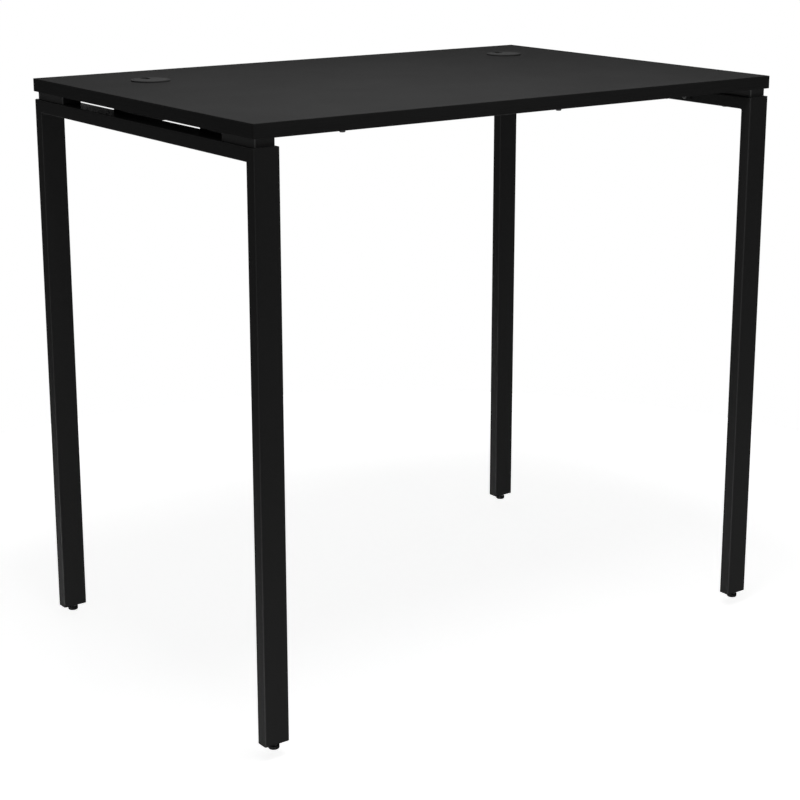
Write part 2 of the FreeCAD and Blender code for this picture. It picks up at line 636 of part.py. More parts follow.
def make_top_fixings():
    """Spacers under the worktop, with the screws and threaded inserts that hold it to the frames and rails."""
    for end, sign_x, _ in ENDS:
        for side, sign_y, turn in SIDES:
            place = (f"{sign_x}{FRAME_X}", f"{sign_y}{SPACER_Y}")
            make_corner_spacer(f"{end}_{side}_corner_spacer", *place, turn)
    insert = ("Sizes.insert_diameter", SCREW_THREAD, "Sizes.insert_length")
    first_spacer_screw = (f"-{FRAME_X}", f"-{OUTER_SCREW_Y}")
    spacer_grip = "Sizes.tube_slim + Sizes.gap_height"
    make_screws("spacer_screws", *first_spacer_screw, FRAME_LOW, spacer_grip, SPACER_SCREW_RUNS)
    make_rings("spacer_screw_inserts", *first_spacer_screw, UNDERSIDE, *insert, SPACER_SCREW_RUNS)
    first_rail_screw = (f"-{RAIL_SCREW_X}", f"-{RAIL_Y}")
    make_screws("rail_screws", *first_rail_screw, FRAME_LOW, RAIL_HEIGHT, RAIL_SCREW_RUNS)
    make_rings("rail_screw_inserts", *first_rail_screw, UNDERSIDE, *insert, RAIL_SCREW_RUNS)


def make_leg_plug(label, x, y):
    """A moulded plug in the leg's end, lightened either side of the boss for the foot's bush."""
    body = new_body(label, x, y, FOOT_HEIGHT)
    flange = sketch_on(body, "flange")
    rounded_rectangle(flange, "Sizes.tube_wide", "Sizes.tube_slim", "Sizes.tube_corner")
    pad(body, flange, "Sizes.plug_flange")
    core = sketch_on(body, "core", lift="Sizes.plug_flange")
    core_width = "(Sizes.tube_wide - 2 * Sizes.tube_wall - 2 * Sizes.fit_clearance)"
    core_depth = "(Sizes.tube_slim - 2 * Sizes.tube_wall - 2 * Sizes.fit_clearance)"
    rounded_rectangle(core, core_width, core_depth, "Sizes.tube_corner - Sizes.tube_wall")
    pad(body, core, "Sizes.plug_depth")
    top = "Sizes.plug_flange + Sizes.plug_depth"
    pockets = sketch_on(body, "pockets", lift=top)
    near, far = "Sizes.bush_boss / 2", f"({core_width} / 2 - Sizes.plug_wall)"
    half_depth = f"({core_depth} / 2 - Sizes.plug_wall)"
    rectangle(pockets, near, f"-{half_depth}", far, half_depth)
    rectangle(pockets, f"-{far}", f"-{half_depth}", f"-{near}", half_depth)
    pocket(body, pockets, "Sizes.plug_depth")
    bush = sketch_on(body, "bush", lift=top)
    circle(bush, BUSH_HOLE)
    pocket(body, bush, "Sizes.bush_length")
    stem = sketch_on(body, "stem")
    circle(stem, STEM_HOLE)
    pocket(body, stem)


def make_foot_stem(label, x, y):
    """A threaded stem with a hexagon collar, and a pin below it that turns in the pad."""
    body = new_body(label, x, y)
    collar = sketch_on(body, "collar", lift="Sizes.pad_height")
    hexagon(collar, "Sizes.collar_across")
    pad(body, collar, "Sizes.collar_height")
    pin = sketch_on(body, "pin", lift="Sizes.pad_height")
    circle(pin, "Sizes.pin_diameter")
    pad(body, pin, "Sizes.pad_height - Sizes.pad_floor", reverse=True)
    stem = sketch_on(body, "stem", lift=FOOT_HEIGHT)
    circle(stem, "Sizes.stem_diameter")
    shank = pad(body, stem, "Sizes.stem_length")
    tip = ring_at("Sizes.stem_diameter / 2", f"{FOOT_HEIGHT} + Sizes.stem_length")
    names = [f"Edge{count}" for count, edge in enumerate(shank.Shape.Edges, 1) if tip(edge)]
    chamfer = body.newObject("PartDesign::Chamfer", f"{label}_tip")
    chamfer.Base = (shank, names)
    chamfer.setExpression("Size", "Sizes.stem_chamfer")


def make_foot_pad(label, x, y):
    """A round pad with a blind bore for the stem's pin."""
    body = new_body(label, x, y)
    profile = sketch_on(body, "profile", "XZ_Plane")
    outer, bore = "Sizes.pad_diameter / 2", f"{PIN_HOLE} / 2"
    outline = (
        ("0", "0"),
        (outer, "0"),
        (outer, "Sizes.pad_height"),
        (bore, "Sizes.pad_height"),
        (bore, "Sizes.pad_floor"),
        ("0", "Sizes.pad_floor"),
    )
    polygon(profile, outline)
    turned = revolve(body, profile)
    lower = round_edges(body, turned, "Sizes.pad_round", ring_at(outer, "0"))
    round_edges(body, lower, "Sizes.pad_shoulder", ring_at(outer, "Sizes.pad_height"))


def make_feet():
    """Four levelling feet with the plugs and threaded bushes that they screw into."""
    for end, sign_x, _ in ENDS:
        for side, sign_y, _ in SIDES:
            place = (f"{sign_x}{FRAME_X}", f"{sign_y}{LEG_Y}")
            make_leg_plug(f"{end}_{side}_leg_plug", *place)
            make_foot_stem(f"{end}_{side}_foot_stem", *place)
            make_foot_pad(f"{end}_{side}_foot_pad", *place)
    bush_low = f"{LEG_FOOT} + Sizes.plug_depth - Sizes.bush_length"
    bush = ("Sizes.bush_diameter", STEM_THREAD, "Sizes.bush_length")
    runs = (("X_Axis", f"2 * {FRAME_X}"), ("Y_Axis", f"2 * {LEG_Y}"))
    make_rings("foot_bushes", f"-{FRAME_X}", f"-{LEG_Y}", bush_low, *bush, runs)


def make_grommet_liner(label, x):
    """A sleeve through the worktop with a raised flange, recessed for the cap."""
    body = new_body(label, x, GROMMET_Y, "Sizes.desk_height")
    profile = sketch_on(body, "profile", "XZ_Plane")
    flange, recess = "Sizes.grommet_flange / 2", "Sizes.cap_diameter / 2"
    outline = (
        (LINER_INNER, "-Sizes.liner_depth"),
        (LINER_OUTER, "-Sizes.liner_depth"),
        (LINER_OUTER, "0"),
        (flange, "0"),
        (flange, "Sizes.grommet_rise"),
        (recess, "Sizes.grommet_rise"),
        (recess, LEDGE),
        (LINER_INNER, LEDGE),
    )
    polygon(profile, outline)
    turned = revolve(body, profile)
    round_edges(body, turned, "Sizes.grommet_round", ring_at(flange, "Sizes.grommet_rise"))


def make_grommet_cap(label, x):
    """A turning cap flush in its liner, with a skirt and a cable slot open to the rear."""
    body = new_body(label, x, GROMMET_Y, "Sizes.desk_height")
    profile = sketch_on(body, "profile", "XZ_Plane")
    disc = "Sizes.cap_diameter / 2 - Sizes.fit_clearance"
    skirt = f"{LINER_INNER} - Sizes.fit_clearance"
    skirt_inner = f"{skirt} - Sizes.cap_skirt_wall"
    skirt_low = f"{LEDGE} - Sizes.cap_skirt"
    outline = (
        ("0", LEDGE),
        (skirt_inner, LEDGE),
        (skirt_inner, skirt_low),
        (skirt, skirt_low),
        (skirt, LEDGE),
        (disc, LEDGE),
        (disc, "Sizes.grommet_rise"),
        ("0", "Sizes.grommet_rise"),
    )
    polygon(profile, outline)
    turned = revolve(body, profile)
    round_edges(body, turned, "Sizes.cap_round", ring_at(disc, "Sizes.grommet_rise"))
    slot_end = sketch_on(body, "slot_end")
    slot_centre = "(Sizes.slot_reach + Sizes.slot_width / 2)"
    circle(slot_end, "Sizes.slot_width", "0", slot_centre)
    pocket(body, slot_end)
    mouth = sketch_on(body, "slot_mouth")
    half = "Sizes.slot_width / 2"
    rectangle(mouth, f"-{half}", slot_centre, half, "Sizes.cap_diameter")
    pocket(body, mouth)


def make_grommets():
    """A liner and a cap in each of the worktop's two cable holes."""
    for end, sign_x, _ in ENDS:
        make_grommet_liner(f"{end}_grommet_liner", f"{sign_x}{GROMMET_X}")
        make_grommet_cap(f"{end}_grommet_cap", f"{sign_x}{GROMMET_X}")


def write_parts():
    """Checks every object and writes each body to its own file."""
    doc.recompute()
    failed = [item.Name for item in doc.Objects if {"Invalid", "Error"} & set(item.State)]
    bodies = [item for item in doc.Objects if item.TypeId == "PartDesign::Body"]
    failed += [body.Label for body in bodies if body.Shape.isNull() or not body.Shape.isValid()]
    if failed:
        raise RuntimeError(f"not built: {', '.join(failed)}")
    os.makedirs("parts", exist_ok=True)
    for body in bodies:
        body.Shape.exportStep(f"parts/{body.Label}.step")
        print(body.Label, len(body.Shape.Solids), round(body.Shape.Volume, 1))


make_desktop_panel()
make_edge_bands()
make_end_frames()
make_rails()
make_top_fixings()
make_feet()
make_grommets()
write_parts()
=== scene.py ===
"""Looks of the standing desk: materials, fine pieces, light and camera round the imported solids. Metres."""

import json
import math

import bmesh
import bpy
from mathutils import Matrix, Vector


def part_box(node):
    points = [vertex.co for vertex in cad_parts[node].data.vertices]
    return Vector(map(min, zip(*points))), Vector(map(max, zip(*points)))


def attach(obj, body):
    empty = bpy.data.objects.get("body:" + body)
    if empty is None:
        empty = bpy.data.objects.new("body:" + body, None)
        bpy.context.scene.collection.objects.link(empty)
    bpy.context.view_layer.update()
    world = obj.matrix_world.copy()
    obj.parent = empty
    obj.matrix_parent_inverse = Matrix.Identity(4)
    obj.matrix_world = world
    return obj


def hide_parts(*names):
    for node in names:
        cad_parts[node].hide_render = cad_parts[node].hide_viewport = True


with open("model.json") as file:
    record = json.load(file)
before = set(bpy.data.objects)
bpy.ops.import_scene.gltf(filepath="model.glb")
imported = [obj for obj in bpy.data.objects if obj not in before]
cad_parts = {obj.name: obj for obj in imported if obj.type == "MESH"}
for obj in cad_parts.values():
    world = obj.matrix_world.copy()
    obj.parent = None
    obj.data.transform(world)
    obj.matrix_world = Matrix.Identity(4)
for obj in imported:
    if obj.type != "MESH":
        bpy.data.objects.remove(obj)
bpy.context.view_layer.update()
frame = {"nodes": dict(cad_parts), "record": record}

# Camera, fitted to the photo's corners and leg edges
FRAME_PX = 800
SENSOR_MM = 36
CAMERA_PLACE = (-2.1317, -2.8757, 1.4971)
CAMERA_YAW, CAMERA_PITCH, CAMERA_ROLL = 0.6515, 0.2428, 0.0036
FOCAL_PX = 1825.7
PRINCIPAL_PX = (430, 320)

# Light: the sky's levels, each after its place between straight down and straight up
SKY_BELOW, SKY_HORIZON, SKY_TOP = (0.45, 0.03), (0.52, 0.06), (0.95, 0.14)
FLOOR_RADIUS, FLOOR_SIDES = 1.65, 96
# As low as the feet reach when they are screwed out
FLOOR_HEIGHT = -0.015
FLOOR_ALBEDO = 0.6
# The floor glows for lighting rays: painted light standing in for its bounce, dimmer in the middle as
# painted shade under the desk
FLOOR_BOUNCE, FLOOR_RIM_BOUNCE = 0.35, 0.95
FLOOR_BOUNCE_START = 0.3
FLOOR_GLOW, FLOOR_RIM_GLOW = 0.86, 1.0
FLOOR_RIM_START = 0.9
# Name, place, target, width and height, power in watts, spread in degrees
SOFTBOXES = (
    ("overhead", (-0.25, -0.45, 2.4), (-0.25, -0.45, 1.1), (1.0, 1.0), 20, 180),
    ("left", (-3.0, -0.6, 0.5), (-0.4, 0.0, 0.1), (1.0, 1.0), 4, 180),
    ("left_strip", (-5.0, 0.5, 0.12), (0.0, 0.5, 0.02), (2.0, 0.3), 2.6, 14),
    ("right_front", (1.6, -3.6, 0.7), (0.0, 0.0, 0.2), (1.2, 1.2), 7.5, 180),
    ("right", (3.2, 0.8, 0.6), (0.0, 0.0, 0.4), (1.0, 1.0), 6, 180),
    ("rear", (0.6, 3.4, 0.45), (0.0, 0.0, 0.4), (0.9, 0.9), 8, 180),
)

# Materials: the span of a texture's values, how square to an axis flat faces and corners are, and the levels
# of the painted highlights on rounded corners
TEXTURE_SPAN = (0.3, 0.7)
FLAT_SQUARENESS, CORNER_SQUARENESS = 0.98, 0.8
COAT_CORNER_HIGHLIGHT, SPACER_CORNER_HIGHLIGHT = 0.052, 0.16
# The places of the colour sockets on a mix node
MIX_FIRST, MIX_SECOND, MIX_RESULT = 6, 7, 2

# Screws and bolts: all in metres across, along or deep
SCREW = {"shank": 0.006, "head": 0.012, "rise": 0.004, "socket": 0.004, "depth": 0.0022}
BOLT = {"shank": 0.008, "head": 0.014, "rise": 0.0044, "socket": 0.005, "depth": 0.0026}
TIP_CHAMFER = 0.0007

# Foot stems
PIN_RADIUS, PIN_LENGTH = 0.003, 0.0045
COLLAR_ACROSS, COLLAR_HEIGHT, COLLAR_CHAMFER = 0.014, 0.005, 0.0007
STEM_RADIUS, STEM_LENGTH = 0.004, 0.030
THREAD_PITCH, THREAD_DEPTH, THREAD_TURNS = 0.00125, 0.0007, 22
# The ridge's root in thread depths, and its crest and far foot in thread pitches
THREAD_ROOT = 1.2
THREAD_CREST, THREAD_FOOT = (0.34, 0.46), 0.8

# Fine meshes
ROUND_STEPS = 48
DOME_STEPS = 6
SHARP_ANGLE = math.radians(30)
MERGE_DISTANCE = 1e-6

ENDS = {"left": -1, "right": 1}
SIDES = {"front": -1, "rear": 1}
CORNERS = [(end, side) for end in ENDS for side in SIDES]


class Shader:
    """A procedural material on one principled shader, with object coordinates for its textures."""

    def __init__(self, name, metallic=0.0, specular=0.5):
        self.material = bpy.data.materials.new(name)
        self.material.use_nodes = True
        self.nodes = self.material.node_tree.nodes
        self.links = self.material.node_tree.links
        self.principled = self.nodes["Principled BSDF"]
        self.principled.inputs["Metallic"].default_value = metallic
        self.principled.inputs["Specular IOR Level"].default_value = specular
        self.place = self.nodes.new("ShaderNodeTexCoord").outputs["Object"]

    def mapped(self, scale):
        """The object coordinates, stretched along the axes."""
        mapping = self.nodes.new("ShaderNodeMapping")
        mapping.inputs["Scale"].default_value = scale
        self.links.new(self.place, mapping.inputs["Vector"])
        return mapping.outputs["Vector"]

    def noise(self, scale, detail=2.0, stretch=(1, 1, 1)):
        """A noise texture of so many features to the metre."""
        texture = self.nodes.new("ShaderNodeTexNoise")
        texture.inputs["Scale"].default_value = scale
        texture.inputs["Detail"].default_value = detail
        self.links.new(self.mapped(stretch), texture.inputs["Vector"])
        return texture.outputs["Fac"]

    def cells(self, scale):
        """A cell texture of so many cells to the metre."""
        texture = self.nodes.new("ShaderNodeTexVoronoi")
        texture.inputs["Scale"].default_value = scale
        self.links.new(self.mapped((1, 1, 1)), texture.inputs["Vector"])
        return texture.outputs["Distance"]

    def ripples(self, scale, direction, distortion):
        """Even bands across one axis, a little uneven."""
        texture = self.nodes.new("ShaderNodeTexWave")
        texture.bands_direction = direction
        texture.inputs["Scale"].default_value = scale
        texture.inputs["Distortion"].default_value = distortion
        self.links.new(self.mapped((1, 1, 1)), texture.inputs["Vector"])
        return texture.outputs["Fac"]

    def ramp(self, value, low, high):
        """A colour ramp over a texture's value."""
        node = self.nodes.new("ShaderNodeValToRGB")
        for element, place, colour in zip(node.color_ramp.elements, TEXTURE_SPAN, (low, high)):
            element.position = place
            element.color = (*colour, 1)
        self.links.new(value, node.inputs["Fac"])
        return node.outputs["Color"]

    def blend(self, first, second, share):
        """Two colours multiplied, the second with a share."""
        node = self.nodes.new("ShaderNodeMix")
        node.data_type = "RGBA"
        node.blend_type = "MULTIPLY"
        node.inputs["Factor"].default_value = share
        self.links.new(first, node.inputs[MIX_FIRST])
        self.links.new(second, node.inputs[MIX_SECOND])
        return node.outputs[MIX_RESULT]

    def fade(self, first, share, colour):
        """A colour that gives way to a plain one by a share."""
        node = self.nodes.new("ShaderNodeMix")
        node.data_type = "RGBA"
        self.links.new(share, node.inputs["Factor"])
        self.links.new(first, node.inputs[MIX_FIRST])
        node.inputs[MIX_SECOND].default_value = (*colour, 1)
        return node.outputs[MIX_RESULT]

    def corners(self):
        """Nought where the surface faces along an axis, one where a rounded corner turns away: the mask for
        painted corner highlights.
        """
        normal = self.nodes.new("ShaderNodeNewGeometry").outputs["Normal"]
        size = self.nodes.new("ShaderNodeVectorMath")
        size.operation = "ABSOLUTE"
        self.links.new(normal, size.inputs[0])
        split = self.nodes.new("ShaderNodeSeparateXYZ")
        self.links.new(size.outputs["Vector"], split.inputs["Vector"])
        largest = split.outputs["X"]
        for axis in ("Y", "Z"):
            larger = self.nodes.new("ShaderNodeMath")
            larger.operation = "MAXIMUM"
            self.links.new(largest, larger.inputs[0])
            self.links.new(split.outputs[axis], larger.inputs[1])
            largest = larger.outputs["Value"]
        turn = self.nodes.new("ShaderNodeMapRange")
        turn.inputs["From Min"].default_value = FLAT_SQUARENESS
        turn.inputs["From Max"].default_value = CORNER_SQUARENESS
        self.links.new(largest, turn.inputs["Value"])
        return turn.outputs["Result"]

    def colour(self, output):
        """Colours the shader by an output."""
        self.links.new(output, self.principled.inputs["Base Color"])

    def roughness(self, value, low, high):
        """Roughness between two limits, by a texture value."""
        node = self.nodes.new("ShaderNodeMapRange")
        node.inputs["From Min"].default_value = TEXTURE_SPAN[0]
        node.inputs["From Max"].default_value = TEXTURE_SPAN[1]
        node.inputs["To Min"].default_value = low
        node.inputs["To Max"].default_value = high
        self.links.new(value, node.inputs["Value"])
        self.links.new(node.outputs["Result"], self.principled.inputs["Roughness"])

    def bumps(self, *layers):
        """Stacks bump layers: texture value, strength and height in metres."""
        before = None
        for value, strength, height in layers:
            node = self.nodes.new("ShaderNodeBump")
            node.inputs["Strength"].default_value = strength
            node.inputs["Distance"].default_value = height
            self.links.new(value, node.inputs["Height"])
            if before is not None:
                self.links.new(before, node.inputs["Normal"])
            before = node.outputs["Normal"]
        self.links.new(before, self.principled.inputs["Normal"])


def grey(level, warmth=0.0):
    """A near-neutral colour."""
    return level * (1 + warmth), level, level * (1 - warmth)


def make_laminate():
    """Matt melamine with a fine pearl grain and a very faint cloudiness."""
    shader = Shader("desk_laminate", specular=0.0002)
    grain = shader.noise(1100, detail=3)
    clouds = shader.noise(7, detail=4)
    fine = shader.ramp(grain, grey(0.034), grey(0.048))
    broad = shader.ramp(clouds, grey(0.9), grey(1.0))
    shader.colour(shader.blend(fine, broad, 1.0))
    shader.roughness(grain, low=0.46, high=0.58)
    shader.bumps((shader.cells(900), 0.10, 0.0002), (grain, 0.15, 0.0002))
    return shader.material


def make_edge_band():
    """Extruded band with the top's grain and faint streaks along its run."""
    shader = Shader("desk_edge_band", specular=0.001)
    streaks = shader.noise(1, detail=3, stretch=(12, 12, 1600))
    grain = shader.noise(1300, detail=2)
    shader.colour(shader.ramp(streaks, grey(0.022), grey(0.029)))
    shader.roughness(grain, low=0.42, high=0.55)
    shader.bumps((streaks, 0.12, 0.0001), (grain, 0.12, 0.0001))
    return shader.material


def make_powder_coat(name="desk_powder_coat", weld=False):
    """Satin powder coat with a fine orange peel and a painted highlight along its rounded corners; where it
    covers a weld, rippled and without that highlight.
    """
    shader = Shader(name, specular=0.0012)
    peel = shader.noise(650, detail=2)
    fleck = shader.noise(2600, detail=1)
    coat = shader.ramp(fleck, grey(0.025), grey(0.033))
    # Rounded corners get a lighter colour: a painted highlight, left off the welds
    shader.colour(coat if weld else shader.fade(coat, shader.corners(), grey(COAT_CORNER_HIGHLIGHT)))
    shader.roughness(peel, low=0.2, high=0.28)
    layers = [(peel, 0.16, 0.0002), (fleck, 0.08, 0.00008)]
    if weld:
        layers.insert(0, (shader.ripples(110, "X", distortion=1.5), 0.35, 0.0006))
    shader.bumps(*layers)
    return shader.material


def make_moulding(name, low, high, specular, rough, corner=None):
    """Black moulded plastic with a spark-eroded grain, and a painted highlight on its rounded corners where
    a level is given.
    """
    shader = Shader(name, specular=specular)
    grain = shader.cells(1500)
    tint = shader.noise(900, detail=2)
    plain = shader.ramp(tint, grey(low), grey(high))
    # A given corner level is a painted highlight on the rounded corners
    shader.colour(shader.fade(plain, shader.corners(), grey(corner)) if corner else plain)
    shader.roughness(tint, low=rough - 0.06, high=rough + 0.06)
    shader.bumps((grain, 0.14, 0.00015), (tint, 0.08, 0.0001))
    return shader.material


def make_metal(name, low, high, rough, turned):
    """Plated or blackened steel, with tool marks and a little mottling."""
    shader = Shader(name, metallic=1.0)
    mottle = shader.noise(420, detail=3)
    marks = shader.noise(1, detail=2, stretch=(300, 300, 2600) if turned else (900, 900, 900))
    shader.colour(shader.ramp(mottle, grey(low), grey(high, -0.01)))
    shader.roughness(mottle, low=rough - 0.07, high=rough + 0.09)
    shader.bumps((marks, 0.1, 0.00008), (mottle, 0.08, 0.00006))
    return shader.material


# Metals: low and high level, roughness, turned or not. Mouldings: low and high level, specular, roughness
MATERIALS = {
    "laminate": make_laminate(),
    "edge_band": make_edge_band(),
    "powder_coat": make_powder_coat(),
    "black_bolt": make_metal("desk_black_oxide", 0.028, 0.05, 0.38, True),
    "zinc_steel": make_metal("desk_zinc", 0.42, 0.62, 0.34, False),
    "black_steel": make_metal("desk_black_zinc", 0.035, 0.06, 0.34, True),
    "grommet_plastic": make_moulding("desk_grommet_plastic", 0.027, 0.037, 0.002, 0.42),
    # The spacer's lighter corners are a painted highlight
    "spacer_plastic": make_moulding("desk_spacer_plastic", 0.048, 0.062, 0.002, 0.4, corner=SPACER_CORNER_HIGHLIGHT),
    "foot_plastic": make_moulding("desk_foot_plastic", 0.016, 0.024, 0.002, 0.42),
}
WELD_COAT = make_powder_coat("desk_weld_coat", weld=True)


def dress_nodes():
    """Gives every solid the material of its slot."""
    for row in frame["record"]["subparts"]:
        node = frame["nodes"][row["node"]]
        weld = row["node"].endswith("_frame_welds")
        material = WELD_COAT if weld else MATERIALS[row["material_slot"]]
        for place in range(len(node.data.materials)):
            node.data.materials[place] = material


def hexagon(across):
    """The radius of a hexagon at an angle, from its size across flats."""
    sixth = math.pi / 3

    def radius(angle):
        return across / 2 / math.cos((angle + sixth / 2) % sixth - sixth / 2)

    return radius


def stack_rings(shape, place, rings):
    """A closed skin over rings about one axis, each a height and a radius, or a radius by angle."""
    angles = [2 * math.pi * step / ROUND_STEPS for step in range(ROUND_STEPS)]
    loops = []
    for height, radius in rings:
        loop = []
        for angle in angles:
            reach = radius(angle) if callable(radius) else radius
            point = Vector((reach * math.cos(angle), reach * math.sin(angle), height))
            loop.append(shape.verts.new(place @ point))
        loops.append(loop)
    for low, high in zip(loops, loops[1:]):
        for step in range(ROUND_STEPS):
            following = (step + 1) % ROUND_STEPS
            shape.faces.new((low[step], low[following], high[following], high[step]))
    shape.faces.new(loops[0])
    shape.faces.new(loops[-1])


def wind_thread(shape, place, start):
    """A closed ridge wound round the stem from a height, run out at both ends."""
    root, crest = STEM_RADIUS - THREAD_ROOT * THREAD_DEPTH, STEM_RADIUS
    profile = ((0.0, root), (THREAD_CREST[0], crest), (THREAD_CREST[1], crest), (THREAD_FOOT, root))
    steps = ROUND_STEPS // 2
    last = THREAD_TURNS * steps
    loops = []
    for step in range(last + 1):
        angle = 2 * math.pi * step / steps
        runout = min(1, step / steps, (last - step) / steps)
        loop = []
        for share, radius in profile:
            reach = root + (radius - root) * runout
            height = start + THREAD_PITCH * (step / steps + share)
            point = Vector((reach * math.cos(angle), reach * math.sin(angle), height))
            loop.append(shape.verts.new(place @ point))
        loops.append(loop)
    for low, high in zip(loops, loops[1:]):
        for corner in range(len(profile)):
            following = (corner + 1) % len(profile)
            shape.faces.new((low[corner], low[following], high[following], high[corner]))
    shape.faces.new(loops[0])
    shape.faces.new(loops[-1])


def finish_piece(name, shape, body, slot, nodes):
    """Makes the piece an object in its slot's material that rides on the body in place of the CAD nodes."""
    bmesh.ops.recalc_face_normals(shape, faces=shape.faces)
    mesh = bpy.data.meshes.new(name)
    shape.to_mesh(mesh)
    shape.free()
    mesh.materials.append(MATERIALS[slot])
    mesh.shade_smooth()
    mesh.set_sharp_from_angle(angle=SHARP_ANGLE)
    piece = bpy.data.objects.new(name, mesh)
    bpy.context.scene.collection.objects.link(piece)
    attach(piece, body)
    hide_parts(*nodes)


def solids_of(node):
    """The lowest and highest corner of each separate solid in a CAD node."""
    part = frame["nodes"][node]
    mesh = bmesh.new()
    mesh.from_mesh(part.data)
    bmesh.ops.remove_doubles(mesh, verts=mesh.verts, dist=MERGE_DISTANCE)
    unseen = set(mesh.verts)
    boxes = []
    while unseen:
        group = [unseen.pop()]
        for vertex in group:
            for edge in vertex.link_edges:
                neighbour = edge.other_vert(vertex)
                if neighbour in unseen:
                    unseen.remove(neighbour)
                    group.append(neighbour)
        points = [part.matrix_world @ vertex.co for vertex in group]
        columns = list(zip(*points))
        low = Vector([min(column) for column in columns])
        high = Vector([max(column) for column in columns])
        boxes.append((low, high))
    mesh.free()
    return boxes


def screw_rings(length, kind):
    """A button-head screw, from its tip up and into the socket in its head."""
    shank, head = kind["shank"] / 2, kind["head"] / 2
    seat = length - kind["rise"]
    rim = seat + kind["rise"] / 4
    face = (kind["socket"] / math.sqrt(3) + head) / 2
    socket = hexagon(kind["socket"])
    dome = []
    for step in range(DOME_STEPS + 1):
        angle = math.pi / 2 * step / DOME_STEPS
        dome.append((rim + (length - rim) * math.sin(angle), face + (head - face) * math.cos(angle)))
    return [
        (0, shank - TIP_CHAMFER), (TIP_CHAMFER, shank), (seat, shank), (seat, head), *dome,
        (length, socket), (length - kind["depth"], socket),
    ]


def make_screws():
    """The worktop's screws, heads down, and the flange bolts, heads inwards, with domed heads."""
    for node in ("spacer_screws", "rail_screws"):
        shape = bmesh.new()
        for low, high in solids_of(node):
            middle = (low + high) / 2
            tip = Matrix.Translation((middle.x, middle.y, high.z))
            place = tip @ Matrix.Rotation(math.pi, 4, "X")
            stack_rings(shape, place, screw_rings(high.z - low.z, SCREW))
        finish_piece(f"fine_{node}", shape, "desk", "black_bolt", [node])
    for end, sign in ENDS.items():
        node = f"{end}_flange_bolts"
        shape = bmesh.new()
        for low, high in solids_of(node):
            middle = (low + high) / 2
            tip = Matrix.Translation((high.x if sign > 0 else low.x, middle.y, middle.z))
            place = tip @ Matrix.Rotation(-sign * math.pi / 2, 4, "Y")
            stack_rings(shape, place, screw_rings(high.x - low.x, BOLT))
        finish_piece(f"fine_{node}", shape, "desk", "black_bolt", [node])


def make_foot_stems():
    """The feet's stems: a pin, a chamfered hexagon collar and a threaded rod."""
    collar = hexagon(COLLAR_ACROSS)
    seat = PIN_LENGTH + COLLAR_HEIGHT
    tip = seat + STEM_LENGTH
    core = STEM_RADIUS - THREAD_DEPTH
    rings = (
        (0, PIN_RADIUS - TIP_CHAMFER),
        (TIP_CHAMFER, PIN_RADIUS),
        (PIN_LENGTH, PIN_RADIUS),
        (PIN_LENGTH, COLLAR_ACROSS / 2 - COLLAR_CHAMFER / 2),
        (PIN_LENGTH + COLLAR_CHAMFER, collar),
        (seat - COLLAR_CHAMFER, collar),
        (seat, COLLAR_ACROSS / 2 - COLLAR_CHAMFER / 2),
        (seat, core),
        (tip - TIP_CHAMFER, core),
        (tip, core - TIP_CHAMFER),
    )
    for end, side in CORNERS:
        node = f"{end}_{side}_foot_stem"
        low, high = (Vector(corner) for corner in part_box(node))
        place = Matrix.Translation(((low.x + high.x) / 2, (low.y + high.y) / 2, low.z))
        shape = bmesh.new()
        stack_rings(shape, place, rings)
        wind_thread(shape, place, seat)
        finish_piece(f"threaded_{node}", shape, f"{end}_{side}_stem", "black_steel", [node])


def make_camera():
    """The fitted camera."""
    camera = bpy.data.objects.new("camera", bpy.data.cameras.new("camera"))
    bpy.context.scene.collection.objects.link(camera)
    turn = (
        Matrix.Rotation(-CAMERA_YAW, 4, "Z")
        @ Matrix.Rotation(math.pi / 2 - CAMERA_PITCH, 4, "X")
        @ Matrix.Rotation(CAMERA_ROLL, 4, "Z")
    )
    camera.matrix_world = Matrix.Translation(CAMERA_PLACE) @ turn
    camera.data.sensor_width = SENSOR_MM
    camera.data.lens = FOCAL_PX / FRAME_PX * SENSOR_MM
    camera.data.shift_x = 0.5 - PRINCIPAL_PX[0] / FRAME_PX
    camera.data.shift_y = PRINCIPAL_PX[1] / FRAME_PX - 0.5
    bpy.context.scene.camera = camera


def seen_rays(tree):
    """One for the rays that show a thing, straight, reflected or through glass; nought for light."""
    path = tree.nodes.new("ShaderNodeLightPath")
    seen = path.outputs["Is Camera Ray"]
    for kind in ("Is Glossy Ray", "Is Transmission Ray"):
        either = tree.nodes.new("ShaderNodeMath")
        either.operation = "MAXIMUM"
        tree.links.new(seen, either.inputs[0])
        tree.links.new(path.outputs[kind], either.inputs[1])
        seen = either.outputs["Value"]
    return seen


def make_sky():
    """White to the camera and in reflections; a soft sky, bright overhead, for the light."""
    world = bpy.data.worlds.new("studio")
    bpy.context.scene.world = world
    world.use_nodes = True
    nodes, links = world.node_tree.nodes, world.node_tree.links
    direction = nodes.new("ShaderNodeTexCoord").outputs["Generated"]
    split = nodes.new("ShaderNodeSeparateXYZ")
    links.new(direction, split.inputs["Vector"])
    height = nodes.new("ShaderNodeMapRange")
    height.inputs["From Min"].default_value = -1
    links.new(split.outputs["Z"], height.inputs["Value"])
    ramp = nodes.new("ShaderNodeValToRGB")
    ramp.color_ramp.elements.new(SKY_HORIZON[0])
    for element, (place, level) in zip(ramp.color_ramp.elements, (SKY_BELOW, SKY_HORIZON, SKY_TOP)):
        element.position = place
        element.color = (level, level, level, 1)
    links.new(height.outputs["Result"], ramp.inputs["Fac"])
    soft = nodes["Background"]
    links.new(ramp.outputs["Color"], soft.inputs["Color"])
    white = nodes.new("ShaderNodeBackground")
    white.inputs["Color"].default_value = (1, 1, 1, 1)
    mix = nodes.new("ShaderNodeMixShader")
    links.new(seen_rays(world.node_tree), mix.inputs["Fac"])
    links.new(soft.outputs["Background"], mix.inputs[1])
    links.new(white.outputs["Background"], mix.inputs[2])
    links.new(mix.outputs["Shader"], nodes["World Output"].inputs["Surface"])


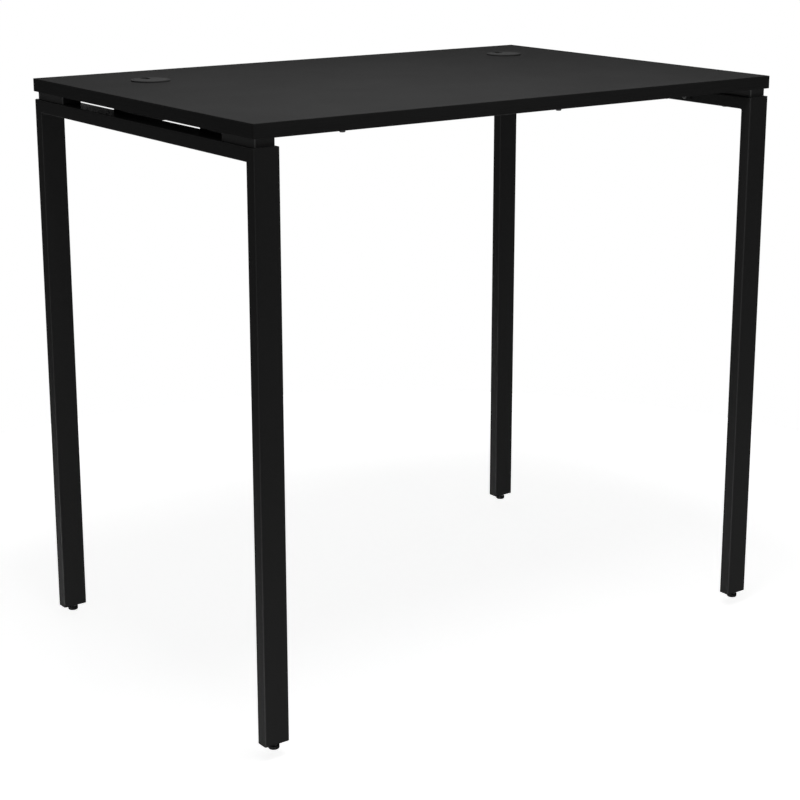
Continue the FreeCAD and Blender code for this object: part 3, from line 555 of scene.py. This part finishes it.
def make_floor():
    """A pale round floor with the desk's shadow: white to the eye, open from below, and glowing for lighting
    rays as a painted bounce light that is dimmer in the middle, painted shade under the desk.
    """
    shape = bmesh.new()
    bmesh.ops.create_circle(shape, cap_ends=True, segments=FLOOR_SIDES, radius=FLOOR_RADIUS)
    for face in shape.faces:
        face.normal_update()
        if face.normal.z < 0:
            face.normal_flip()
    mesh = bpy.data.meshes.new("floor")
    shape.to_mesh(mesh)
    shape.free()
    floor = bpy.data.objects.new("floor", mesh)
    floor.location.z = FLOOR_HEIGHT
    bpy.context.scene.collection.objects.link(floor)
    material = bpy.data.materials.new("floor_paper")
    material.use_nodes = True
    principled = material.node_tree.nodes["Principled BSDF"]
    principled.inputs["Base Color"].default_value = (FLOOR_ALBEDO, FLOOR_ALBEDO, FLOOR_ALBEDO, 1)
    principled.inputs["Roughness"].default_value = 1
    principled.inputs["Specular IOR Level"].default_value = 0
    principled.inputs["Emission Color"].default_value = (1, 1, 1, 1)
    nodes, links = material.node_tree.nodes, material.node_tree.links
    distance = nodes.new("ShaderNodeVectorMath")
    distance.operation = "LENGTH"
    links.new(nodes.new("ShaderNodeTexCoord").outputs["Object"], distance.inputs[0])

    def by_distance(first, middle, rim):
        """A value that goes evenly from the middle's to the rim's, from the first distance on."""
        node = nodes.new("ShaderNodeMapRange")
        node.inputs["From Min"].default_value = first
        node.inputs["From Max"].default_value = FLOOR_RADIUS
        node.inputs["To Min"].default_value = middle
        node.inputs["To Max"].default_value = rim
        links.new(distance.outputs["Value"], node.inputs["Value"])
        return node.outputs["Result"]

    level = nodes.new("ShaderNodeMix")
    links.new(seen_rays(material.node_tree), level.inputs["Factor"])
    # Lighting rays see a painted bounce glow, dimmer in the middle as painted shade under the desk
    links.new(by_distance(FLOOR_BOUNCE_START, FLOOR_BOUNCE, FLOOR_RIM_BOUNCE), level.inputs["A"])
    links.new(by_distance(FLOOR_RIM_START, FLOOR_GLOW, FLOOR_RIM_GLOW), level.inputs["B"])
    links.new(level.outputs["Result"], principled.inputs["Emission Strength"])
    open_side = nodes.new("ShaderNodeMixShader")
    links.new(nodes.new("ShaderNodeNewGeometry").outputs["Backfacing"], open_side.inputs["Fac"])
    links.new(principled.outputs["BSDF"], open_side.inputs[1])
    links.new(nodes.new("ShaderNodeBsdfTransparent").outputs["BSDF"], open_side.inputs[2])
    links.new(open_side.outputs["Shader"], nodes["Material Output"].inputs["Surface"])
    mesh.materials.append(material)


def make_softboxes():
    """Area lamps, each aimed at its target."""
    for name, place, target, size, power, spread in SOFTBOXES:
        lamp = bpy.data.lights.new(name, "AREA")
        lamp.shape = "RECTANGLE"
        lamp.size, lamp.size_y = size
        lamp.energy = power
        lamp.spread = math.radians(spread)
        light = bpy.data.objects.new(name, lamp)
        bpy.context.scene.collection.objects.link(light)
        aim = Vector(target) - Vector(place)
        light.matrix_world = Matrix.Translation(place) @ aim.to_track_quat("-Z", "Y").to_matrix().to_4x4()


bpy.context.scene.view_settings.view_transform = "Standard"
dress_nodes()
make_screws()
make_foot_stems()
make_camera()
make_sky()
make_floor()
make_softboxes()
